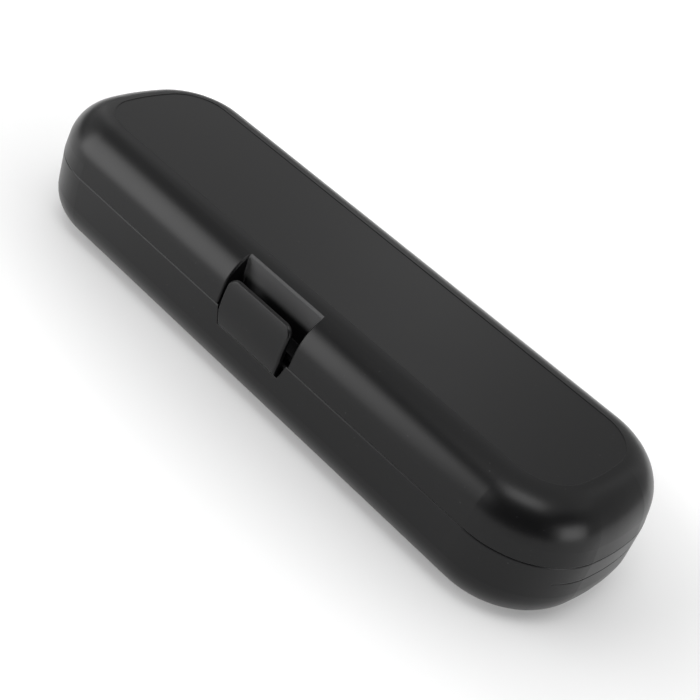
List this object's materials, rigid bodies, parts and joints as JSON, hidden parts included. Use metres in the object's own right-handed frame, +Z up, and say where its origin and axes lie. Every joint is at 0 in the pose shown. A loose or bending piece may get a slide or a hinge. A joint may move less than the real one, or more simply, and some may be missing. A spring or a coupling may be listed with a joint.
{
  "type": "electric toothbrush travel case",
  "caption": "Pill-shaped hard travel case for an electric toothbrush: hinged lid, springy latch tongue in front, and a tray with a handle trough and brush head wells.",
  "frame": {"origin": "middle of the flat face the closed case rests on", "axes": "+X along the case towards the handle's neck end, +Y towards the hinge at the back, +Z up; the latch tongue is on the -Y side"},
  "size_m": [0.2156, 0.0727, 0.0394],
  "materials": {
    "shell_plastic": "satin, fine moulded grain",
    "tray_plastic": "matt",
    "pin_steel": "drawn wire",
    "peg_plastic": "matt",
    "pad_rubber": "soft"
  },
  "bodies": {
    "base": {"base_shell": "shell_plastic", "handle_tray": "tray_plastic", "cradle_pad_far": "pad_rubber", "cradle_pad_near": "pad_rubber", "head_peg_far": "peg_plastic", "head_peg_near": "peg_plastic", "hinge_pin_far": "pin_steel", "hinge_pin_near": "pin_steel"},
    "lid": {"lid_shell": "shell_plastic", "lid_pad_far": "pad_rubber", "lid_pad_near": "pad_rubber"},
    "latch": {"latch_tongue": "shell_plastic"}
  },
  "joints": [
    {"name": "lid_hinge", "type": "hinge", "parent": "base", "child": "lid", "pos_m": [0, 0.0357, 0.0232], "axis": [-1, 0, 0], "range_deg": [0, 180]},
    {"name": "latch_flex", "type": "hinge", "parent": "base", "child": "latch", "pos_m": [0, -0.033, 0.0178], "axis": [1, 0, 0], "range_deg": [0, 9], "stiffness_Nm_per_rad": 0.8}
  ]
}
